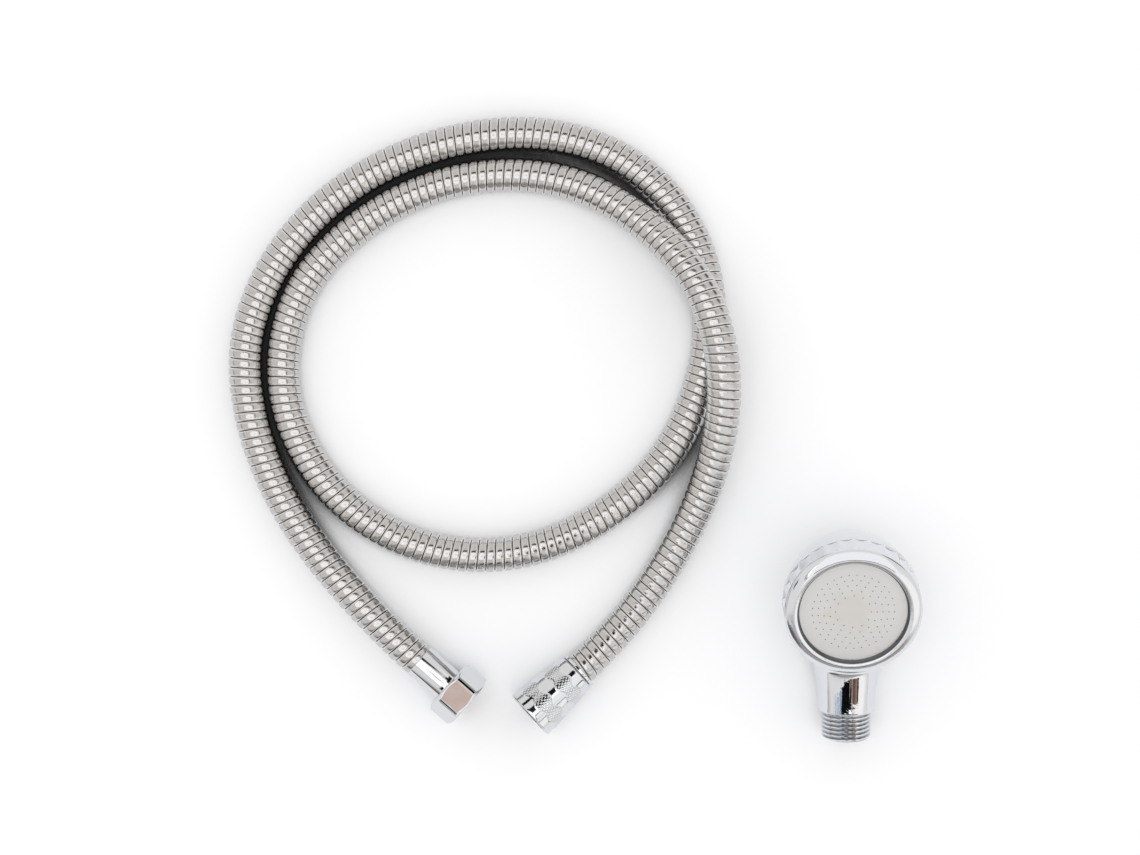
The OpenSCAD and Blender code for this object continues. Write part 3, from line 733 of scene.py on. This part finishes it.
def flute_reach(alpha, z, sizes):
    """Distance from the ring's axis to a flute's wall: the near side of a circle of
    radius c, whose middle is at D, seen at angle alpha is D cos a - sqrt(c^2 - D^2
    sin^2 a). Above the straight part c shrinks as a flattened ball's does."""
    pitch = math.pi * HEAD_R / sizes.flute_count
    half = pitch - RIB_HALF
    depth = mm(sizes.flute_depth)
    sag = depth - (HEAD_R - math.sqrt(HEAD_R ** 2 - half ** 2))
    c = (half ** 2 + sag ** 2) / (2 * sag)
    scallop = math.sqrt(2 * c * depth - depth ** 2)
    drop = mm(sizes.scallop_drop)
    big_d = HEAD_R - depth + c
    c_z = c ** 2 - (np.maximum(z - FLUTE_TOP_Z + drop, 0) * scallop / drop) ** 2
    inside = c_z - (big_d * np.sin(alpha)) ** 2
    reach = big_d * np.cos(alpha) - np.sqrt(np.maximum(inside, 0))
    # Beside a flute nothing is cut, so its wall counts as far off
    return np.where(inside > 0, reach, 99.0)


def build_ring(sizes):
    """Face ring: a closed outline turned about the face's axis, its outer side pulled
    in to the wall of the nearest flute with a small round on every edge."""
    count = sizes.flute_count
    # Across a flute the columns gather at its edges
    s = np.linspace(-1, 1, 22, endpoint=False)
    step = math.pi / count
    alpha = s * (1.35 - 0.35 * s ** 2) * step
    theta = (alpha + (2 * np.arange(count)[:, None] + 1) * step).ravel()
    alpha = np.tile(alpha, count)

    c, at = CREST_ROUND, np.radians(np.linspace(-24, 20, 12))
    crest = np.column_stack([CREST_R + c * np.sin(at), c * np.cos(at) - c])
    # From the crest a slope of 20 degrees bends over into the upright side
    first = crest[-1]
    bend = np.array([HEAD_R, first[1] - (HEAD_R - first[0]) * math.tan(math.radians(20))])
    t = np.linspace(0, 1, 16)[1:, None]
    over = (1 - t) ** 2 * first + 2 * t * (1 - t) * bend + t ** 2 * [HEAD_R, -3.0]
    side_z = np.concatenate([np.linspace(FLUTE_TOP_Z, -7.0, 21), np.linspace(-7.4, -12.0, 12)])
    side = np.column_stack([np.full(side_z.size, HEAD_R), side_z])
    foot = np.array([[HEAD_R - 0.02, -12.2], [HEAD_R - 0.09, -12.36], [HEAD_R - 0.25, -12.46],
                     [HEAD_R - 0.45, RING_FOOT_Z]])
    inner = np.array([[RING_BORE_R + 0.3, RING_FOOT_Z], [RING_BORE_R, -12.2], [RING_BORE_R, -6.0],
                      [RING_BORE_R, PLATE_Z], [OPEN_R + 0.15, PLATE_Z], [OPEN_R, PLATE_Z + 0.15],
                      [OPEN_R, PLATE_Z + 0.5]])
    # The bevel rises in two steps to the crest, each with a narrow edge
    bevel = np.array([[OPEN_R + 0.04, PLATE_Z + 0.62], [OPEN_R + 0.14, PLATE_Z + 0.72],
                      [OPEN_R + 0.58, -1.24], [OPEN_R + 0.62, -1.14], [OPEN_R + 0.64, -0.94],
                      [OPEN_R + 0.70, -0.84], [OPEN_R + 0.88, -0.42]])
    profile = np.concatenate([over, side, foot, inner, bevel, crest])
    r, z = profile[:, :1], profile[:, 1:]
    reach = flute_reach(alpha[None, :], z, sizes)
    radius = np.where(r > HEAD_R - 2, smooth_min(r, reach, mm(sizes.flute_round)), r)
    grid = around(radius, theta, z)
    ring = make_ring("screw_ring", grid, face_frame(), "face_ring", PLATED_PLASTIC, 50)
    # Painted shade darkens the seam where the lip meets the plate, and the foot of the bevel
    seam = (r < OPEN_R + 0.08) & (z > PLATE_Z + 0.1)
    foot_of_bevel = (r < OPEN_R + 1.3) & (z > PLATE_Z + 0.6) & (z < -0.35)
    set_painted_shade(ring, np.where(seam | foot_of_bevel, 0.85, 0.0) * np.ones_like(radius))
    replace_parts(ring, "face_ring")


# ---------------------------------------------------------------- hose ends

def build_ferrule(name, corners, where, node_name):
    """Ferrule: an outline with rounded corners, turned about the fitting's axis."""
    grid = turned(rounded(corners, 0.3), circle(120))
    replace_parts(make_ring(name, grid, where, "hose", PLATED_BRASS), node_name)


def nut_inside(back, shoulder, mouth, angles):
    """Rows of a nut's inside, from its mouth to its back: a chamfer, the thread, the
    chamber and the hole. In the bore the thread's wave takes metal away."""
    start = shoulder + NUT_STACK
    z = np.linspace(mouth - 0.05, start, 50)
    radius = threaded(z, angles, smooth_step((z - start) / 0.5))[1]
    mouth_r = np.maximum(THREAD_ROOT_R, THREAD_R + 0.15 - (mouth - z))[:, None]
    radius = smooth_max(radius, mouth_r, 0.1)
    behind = [[CHAMBER_R, start], [CHAMBER_R, shoulder], [NUT_HOLE_R, shoulder],
              [NUT_HOLE_R, back + 0.3], [NUT_HOLE_R + 0.3, back]]
    return np.concatenate([around(radius, angles, z[:, None]), turned(behind, angles)])


def build_hex_nut(sizes):
    """Hex nut: at each angle the radius is that of a hexagon, half its width over the
    cosine of the angle to the nearest flat, or that of the circle which rounds its corner,
    d cos b + sqrt(c^2 - d^2 sin^2 b). The chamfer's cone cuts it at both ends."""
    half, c = HEX_AF / 2, mm(sizes.corner_round)
    d = (half - c) / math.cos(math.pi / 6)
    turn = math.atan((half - c) * math.tan(math.pi / 6) / half)
    flat = np.concatenate([np.linspace(-turn, turn, 12, endpoint=False),
                           np.linspace(turn, math.pi / 3 - turn, 18, endpoint=False)])
    angles = (flat + np.arange(6)[:, None] * math.pi / 3).ravel()
    flat = (angles + math.pi / 6) % (math.pi / 3) - math.pi / 6
    b = math.pi / 6 - np.abs(flat)
    arc = d * np.cos(b) + np.sqrt(np.maximum(c ** 2 - (d * np.sin(b)) ** 2, 0))
    hexagon = np.where(np.abs(flat) <= turn, half / np.cos(flat), arc)
    corner_r = half / math.cos(math.pi / 6)
    end = HEX_AT + HEX_LEN
    # Rows stand closer together in the chamfers
    z = HEX_AT + np.concatenate([
        np.linspace(0, 2.6, 22), np.linspace(2.9, HEX_LEN - 2.9, 12),
        np.linspace(HEX_LEN - 2.6, HEX_LEN, 22),
    ])
    edge = corner_r - HEX_AF / 2 + 0.5
    from_end = np.minimum(z - HEX_AT, end - z)
    cone = corner_r - edge + from_end / math.tan(math.radians(32))
    radius = smooth_min(hexagon[None, :], cone[:, None], mm(sizes.edge_round) * 2)
    inside = nut_inside(HEX_AT, HEX_SHOULDER, end, angles)
    grid = np.concatenate([around(radius, angles, z[:, None]), inside])
    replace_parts(make_ring("hexagon_nut", grid, hex_frame(), "hex_nut", PLATED_BRASS), "hex_nut")


def build_cone_nut(sizes):
    """Cone nut: a cone sunk by the height of the grip outside its two grip bands. The
    bands carry a diamond knurl: two sets of V grooves, at whole numbers of
    u = n a / 360 + z / length and v = n a / 360 - z / length, leave pyramids whose height
    is the smaller of the distances to the nearest groove of each set."""
    angles = circle(sizes.knurl_count * 8)
    row = mm(sizes.knurl_length) / 8
    along = np.concatenate([
        [0, 0.12, 0.35, 0.6], np.arange(KNURL_FROM, CONE_LEN - KNURL_FROM, row),
        [CONE_LEN - 0.6, CONE_LEN - 0.35, CONE_LEN - 0.12, CONE_LEN],
    ])
    z = CONE_AT + along
    base = CONE_SMALL_R + (CONE_BIG_R - CONE_SMALL_R) * along / CONE_LEN - mm(sizes.grip_height)
    # Both rims have a round of 0.6 mm
    edge = np.minimum(along, CONE_LEN - along)
    base = base - 0.6 * (1 - np.sqrt(1 - np.clip(1 - edge / 0.6, 0, 1) ** 2))
    turn = sizes.knurl_count * angles[None, :] / (2 * math.pi)
    length = (along[:, None] - KNURL_FROM) / mm(sizes.knurl_length)
    pyramid = np.minimum(*[1 - np.abs(2 * (w % 1) - 1) for w in (turn + length, turn - length)])
    grip = grip_mask(angles[None, :], along[:, None], sizes)
    # The grooves go 28% of the grip's height deep
    radius = base[:, None] + mm(sizes.grip_height) * grip * (0.72 + 0.28 * pyramid)
    inside = nut_inside(CONE_AT, CONE_SHOULDER, CONE_AT + CONE_LEN, angles)
    grid = np.concatenate([around(radius, angles, z[:, None]), inside])
    nut = make_ring("conical_nut", grid, cone_frame(), "cone_nut", PLATED_BRASS, 70)
    # Painted shade in the knurl's grooves, where the pyramids are low
    groove = np.zeros(grid.shape[:2])
    groove[:len(z)] = 0.3 * grip * np.clip(1.0 - 2.5 * pyramid, 0, 1)
    set_painted_shade(nut, groove)
    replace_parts(nut, "cone_nut")


def grip_mask(angle, along, sizes):
    """1 on both grip bands and 0 on the smooth ends and waist. Each band's middle is
    fixed, and its half width swells and narrows as a wave round the nut."""
    wave = mm(sizes.grip_wave) * np.cos(sizes.window_count * (angle - 0.1))
    half = GRIP_LEN / 2 + wave
    bands = [GRIP_FROM + GRIP_LEN / 2, CONE_LEN - GRIP_FROM - GRIP_LEN / 2]
    away = np.minimum(*[np.abs(along - middle) for middle in bands])
    return smooth_step((half - away) / 0.5)


# ---------------------------------------------------------------- properties

def mm(length):
    """Millimetres of a length property, which is stored in metres."""
    return length * 1000


def length_of(name, text, value):
    return FloatProperty(name=name, description=text, default=value, min=0.0, unit="LENGTH", precision=5)


def count_of(name, text, value, least, most):
    return IntProperty(name=name, description=text, default=value, min=least, max=most)


def tone_of(name, text, value):
    return StringProperty(name=name, description=text, default=value)


class SprayerSizes(PropertyGroup):
    """Sizes of the details that the frame leaves open"""

    neck_fillet: length_of("Neck fillet", "Width of the blend between domed back and neck", 0.006)
    parting_height: length_of("Parting line", "Height of the moulding line along the neck", 0.00006)
    flute_count: count_of("Flutes", "Number of flutes around the face ring", 28, 12, 60)
    flute_depth: length_of("Flute depth", "Depth of the face ring's flutes", 0.00065)
    scallop_drop: length_of("Scallop", "Height of the round end of each flute", 0.0016)
    flute_round: length_of("Flute edge", "Width over which the flutes' edges are rounded", 0.0003)
    strip_pitch: length_of("Strip pitch", "Distance from one turn of the strip to the next", 0.00372)
    groove_depth: length_of("Groove depth", "Depth of the groove between two turns", 0.00075)
    casing_steps: count_of("Casing steps", "Corners in each turn of the hose's strip", 24, 12, 48)
    corner_round: length_of("Nut corner", "Radius that rounds the hex nut's six corners", 0.0020)
    edge_round: length_of("Nut edge", "Width over which the hex nut's edges are rounded", 0.0002)
    grip_height: length_of("Grip height", "Height of the cone nut's knurled bands", 0.0003)
    grip_wave: length_of("Grip wave", "How far the edges of the knurled bands wave", 0.0009)
    knurl_count: count_of("Knurl ridges", "Diamonds of the knurl around the cone nut", 56, 24, 80)
    knurl_length: length_of("Knurl length", "Length of one diamond along the nut", 0.0020)
    window_count: count_of("Windows", "Smooth windows around the cone nut's waist", 8, 1, 12)


class SprayerFinishes(PropertyGroup):
    """Colours of the finishes, as sRGB hex values"""

    chrome_plastic: tone_of("Chrome on plastic", "Reflection colour of the plated plastic", "#DCDEE2")
    chrome_brass: tone_of("Chrome on brass", "Reflection colour of the plated brass", "#D8DADD")
    strip: tone_of("Steel strip", "Colour of the hose's casing", "#C9C7C6")
    plate: tone_of("Spray plate", "Colour of the satin spray plate", "#DFDFDF")
    floor: tone_of("Floor", "Colour of the floor", "#EEF0F3")


# ---------------------------------------------------------------- studio

def sheet(name, corners, faces, look):
    """A thin piece of the studio from corners in metres."""
    mesh = bpy.data.meshes.new(name)
    mesh.from_pydata(corners, [], faces)
    mesh.materials.append(bpy.data.materials[look])
    return link_new(name.replace(" ", "_"), mesh)


def build_floor(tint):
    """Matt white floor. It shines a little by itself where the camera or a mirror sees it."""
    tree = start_material("matt paper floor")
    path = node(tree, "LightPath").outputs
    # The paper greys far from the object, so that metal edges stand out on it
    where = node(tree, "TexCoord").outputs["Object"]
    far = node(tree, "VectorMath", [where, (*CAMERA_AT[:2], 0.0)], operation="DISTANCE")
    far = node(tree, "MapRange", [far, 0.4, 1.6], interpolation_type="SMOOTHSTEP")
    tones = {"Factor": far, "A": colour(tint), "B": colour("#B9BCC0")}
    paper = node(tree, "Mix", tones, data_type="RGBA")
    # Deep shade in the narrow gaps between two strands of the hose
    closed = node(tree, "AmbientOcclusion", {"Distance": 0.03}).outputs["AO"]
    closed = node(tree, "MapRange", [closed, 0.22, 0.5], interpolation_type="SMOOTHSTEP")
    tones = {"Factor": closed, "A": colour("#1E1C1B"), "B": paper}
    paper = node(tree, "Mix", tones, data_type="RGBA")
    seen = node(tree, "Math", [path["Is Camera Ray"], path["Is Glossy Ray"]], operation="MAXIMUM")
    seen = node(tree, "Math", [seen, path["Is Transmission Ray"]], operation="MAXIMUM")
    glow = node(tree, "Math", [seen, closed], operation="MULTIPLY")
    glow = node(tree, "Math", [glow, 0.14, 0.012], operation="MULTIPLY_ADD")
    matt = node(tree, "BsdfDiffuse", {"Color": paper})
    lit = node(tree, "Emission", {"Color": colour("#FFFFFF"), "Strength": glow})
    node(tree, "OutputMaterial", [node(tree, "AddShader", [matt, lit])])
    corners = [(-4, -4, 0), (4, -4, 0), (4, 4, 0), (-4, 4, 0)]
    sheet("floor", corners, [(0, 1, 2, 3)], "matt paper floor")


def build_flag(name, middle, half, turn, bow, stripes):
    """A card that neither the camera nor matt surfaces see and that casts no shadow.
    At u along it its two edges stand at +-half depth - bow x u^2, the far one ragged."""
    tree = start_material(name)
    split = node(tree, "SeparateXYZ", [node(tree, "TexCoord").outputs["Object"]])
    span = [split.outputs["X"], middle[0] - half[0], middle[0] + half[0]]
    bands = node(tree, "ValToRGB", [node(tree, "MapRange", span)])
    set_ramp(bands, stripes)
    lit = node(tree, "Emission", {"Color": bands, "Strength": 1.15})
    node(tree, "OutputMaterial", [lit])
    u = np.linspace(-half[0], half[0], 61)
    ragged = 0.0009 * (np.sin(u * 610) + np.sin(u * 1130 + 1) + np.sin(u * 260 + 2)) * (bow[0] > 0)
    far, near = -half[1] - bow[0] * u ** 2 + ragged, half[1] - bow[1] * u ** 2
    turn = math.radians(turn)
    rows = [np.column_stack([
        middle[0] + u * math.cos(turn) - v * math.sin(turn),
        middle[1] + u * math.sin(turn) + v * math.cos(turn),
        np.full(u.size, middle[2]),
    ]) for v in (far, near)]
    faces = cells(2, u.size, wrap_columns=False)
    flag = sheet(name, np.vstack(rows).tolist(), faces.tolist(), name)
    flag.visible_camera = flag.visible_diffuse = flag.visible_shadow = False


def build_world():
    """The room's colour with each thing of the sky laid over it in turn."""
    world = bpy.data.worlds.new("studio")
    bpy.context.scene.world = world
    world.use_nodes = True
    tree = world.node_tree
    tree.nodes.clear()
    # Directions are laid out on a plane, (x, y) / (1 + z), where a mirror that leans
    # by an angle a from level shows the point at tan a on the side it leans to
    split = node(tree, "SeparateXYZ", [node(tree, "TexCoord").outputs["Generated"]]).outputs
    # A little more than 1, so that nothing is divided by 0 straight below
    depth = node(tree, "Math", [split["Z"], 1.001], operation="ADD")
    shrink = node(tree, "Math", [1.0, depth], operation="DIVIDE")
    flat = node(tree, "CombineXYZ", [split["X"], split["Y"]])
    flat = node(tree, "VectorMath", {"Vector": flat, "Scale": shrink}, operation="SCALE")
    shade = colour(ROOM)
    for tone, middle, half, edge in SKY:
        off = node(tree, "VectorMath", [flat, (*middle, 0.0)], operation="SUBTRACT")
        off = node(tree, "VectorMath", [off, (*half, 1.0)], operation="DIVIDE")
        off = node(tree, "VectorMath", [off], operation="LENGTH")
        inside = node(tree, "MapRange", [off, 1.0 + edge, 1.0 - edge], interpolation_type="SMOOTHSTEP")
        tones = {"Factor": inside, "A": shade, "B": colour(tone)}
        shade = node(tree, "Mix", tones, data_type="RGBA")
    sky = node(tree, "Background", {"Color": shade, "Strength": 1.6})
    node(tree, "OutputWorld", [sky])


# ---------------------------------------------------------------- operators

class SPRAYER_OT_stage(Operator):
    """Camera straight above the sprayer, white floor, mirror cards, soft lamp and sky"""

    bl_idname = "sprayer.stage"
    bl_label = "Stage"

    def execute(self, context):
        scene = context.scene
        scene.view_settings.view_transform = "Standard"
        camera = link_new("camera", bpy.data.cameras.new("camera"))
        camera.data.lens = 96
        camera.data.sensor_width = 36
        camera.data.clip_end = 20
        camera.location = CAMERA_AT
        scene.camera = camera
        build_floor(scene.sprayer_finishes.floor)
        for flag in FLAGS:
            build_flag(*flag)
        lamp = bpy.data.lights.new("soft_lamp", "AREA")
        lamp.shape, lamp.size, lamp.size_y, lamp.energy = "RECTANGLE", 1.6, 1.2, 1.2
        light = link_new("soft_lamp", lamp)
        light.visible_glossy = False
        light.location = (-0.35, 0.5, 1.7)
        light.rotation_euler = (math.radians(-14), math.radians(-8), 0)
        build_world()
        return {"FINISHED"}


class SPRAYER_OT_finishes(Operator):
    """Materials of every piece"""

    bl_idname = "sprayer.finishes"
    bl_label = "Finishes"

    def execute(self, context):
        finishes = context.scene.sprayer_finishes
        # Plating on moulded plastic keeps the moulding's waves, over a centimetre or so
        chrome(PLATED_PLASTIC[1], finishes.chrome_plastic, 0.03, 0.07, 90.0, 0.00004)
        # Plating on turned brass is flatter, but its polish is a little duller
        chrome(PLATED_BRASS[1], finishes.chrome_brass, 0.05, 0.09, 160.0, 0.00002)
        # Wound from polished strip; the winding scratches it along its length
        steel_strip("polished steel strip", finishes.strip)
        spray_sheet("satin stainless sheet", finishes.plate)
        # Seal and washers are pressed in a grained mould: matt, with soft edges of light
        plain("black rubber", "#1E1E1E", 0.0, 0.7, 1500.0, 0.00004)
        # The water tube is extruded, which leaves it smoother than a pressed piece
        plain("EPDM tube", "#3A3A3A", 0.0, 0.55, 1200.0, 0.00003)
        # The tails are turned and left bare: yellow, with blurred highlights
        plain("turned brass", "#CFA45A", 1.0, 0.3, 1800.0, 0.00002)
        # The slip rings are moulded in a waxy plastic with a slight sheen
        plain("moulded acetal", "#EDECE6", 0.0, 0.45, 1400.0, 0.00002)
        # The screen's weave, about 0.4 mm, is only a bump here
        plain("woven steel screen", "#B9B6B0", 1.0, 0.35, 2500.0, 0.0001)
        looks = {
            "satin stainless sheet": ["spray_plate"],
            "black rubber": ["plate_seal", "cone_washer", "hex_washer"],
            "turned brass": ["cone_tail", "hex_tail"],
            "moulded acetal": ["cone_slip_ring", "hex_slip_ring"],
            "woven steel screen": ["cone_screen"],
        }
        for look, names in looks.items():
            for name in names:
                materials = frame["nodes"][name].data.materials
                materials.clear()
                materials.append(bpy.data.materials[look])
        return {"FINISHED"}


class SPRAYER_OT_hose(Operator):
    """Strip-wound hose along its route on the floor, with the water tube inside it"""

    bl_idname = "sprayer.hose"
    bl_label = "Hose"

    def execute(self, context):
        casing, line = build_casing(context.scene.sprayer_sizes)
        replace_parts(casing, "hose_casing")
        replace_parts(build_tube(LINER_R * MM, 1.55 * MM), "hose_liner")
        ends = ["conical_nut", "cone_sleeve", "hexagon_nut", "hex_sleeve", "water_tube"]
        ends += ["cone_tail", "cone_slip_ring", "cone_washer", "cone_screen"]
        ends += ["hex_tail", "hex_slip_ring", "hex_washer"]
        return {"FINISHED"}


class SPRAYER_OT_head(Operator):
    """Domed body with its neck, collar and threaded inlet"""

    bl_idname = "sprayer.head"
    bl_label = "Head"

    def execute(self, context):
        build_body(context.scene.sprayer_sizes)
        build_inlet()
        return {"FINISHED"}


class SPRAYER_OT_ring(Operator):
    """Fluted face ring"""

    bl_idname = "sprayer.ring"
    bl_label = "Face ring"

    def execute(self, context):
        build_ring(context.scene.sprayer_sizes)
        return {"FINISHED"}


class SPRAYER_OT_hose_ends(Operator):
    """Nuts and ferrules at both ends of the hose"""

    bl_idname = "sprayer.hose_ends"
    bl_label = "Hose ends"

    def execute(self, context):
        sizes = context.scene.sprayer_sizes
        build_hex_nut(sizes)
        build_cone_nut(sizes)
        top = HEX_SHOULDER + SLIP_RING
        corners = [[FERRULE_R, 0], [FERRULE_R, top], [FERRULE_BORE_R, top], [FERRULE_BORE_R, 0]]
        build_ferrule("hex_sleeve", corners, hex_frame(), "hex_ferrule")
        # The cone nut's ferrule has a lip that the casing's end stands on
        top, lip, lip_r = CONE_SHOULDER + SLIP_RING, 1.4, CONE_SMALL_R - 0.35
        corners = [[lip_r, 0], [lip_r, lip], [FERRULE_R, lip], [FERRULE_R, top],
                   [FERRULE_BORE_R, top], [FERRULE_BORE_R, 0]]
        build_ferrule("cone_sleeve", corners, cone_frame(), "cone_ferrule")
        return {"FINISHED"}


class SPRAYER_PT_panel(Panel):
    """Sizes, colours and steps of the sprayer"""

    bl_label = "Sprayer"
    bl_space_type = "VIEW_3D"
    bl_region_type = "UI"
    bl_category = "Sprayer"

    def draw(self, context):
        layout = self.layout
        for group in (context.scene.sprayer_sizes, context.scene.sprayer_finishes):
            box = layout.box()
            for name in group.__annotations__:
                box.prop(group, name)
        for step in STEPS:
            layout.operator(step.bl_idname)


STEPS = (
    SPRAYER_OT_stage, SPRAYER_OT_finishes, SPRAYER_OT_hose_ends, SPRAYER_OT_hose, SPRAYER_OT_head,
    SPRAYER_OT_ring,
)
CLASSES = (SprayerSizes, SprayerFinishes) + STEPS + (SPRAYER_PT_panel,)


def register():
    for item in CLASSES:
        bpy.utils.register_class(item)
    bpy.types.Scene.sprayer_sizes = PointerProperty(type=SprayerSizes)
    bpy.types.Scene.sprayer_finishes = PointerProperty(type=SprayerFinishes)


def unregister():
    del bpy.types.Scene.sprayer_finishes
    del bpy.types.Scene.sprayer_sizes
    for item in reversed(CLASSES):
        bpy.utils.unregister_class(item)


def main():
    register()
    for step in STEPS:
        group, name = step.bl_idname.split(".")
        getattr(getattr(bpy.ops, group), name)()


if __name__ == "__main__":
    main()
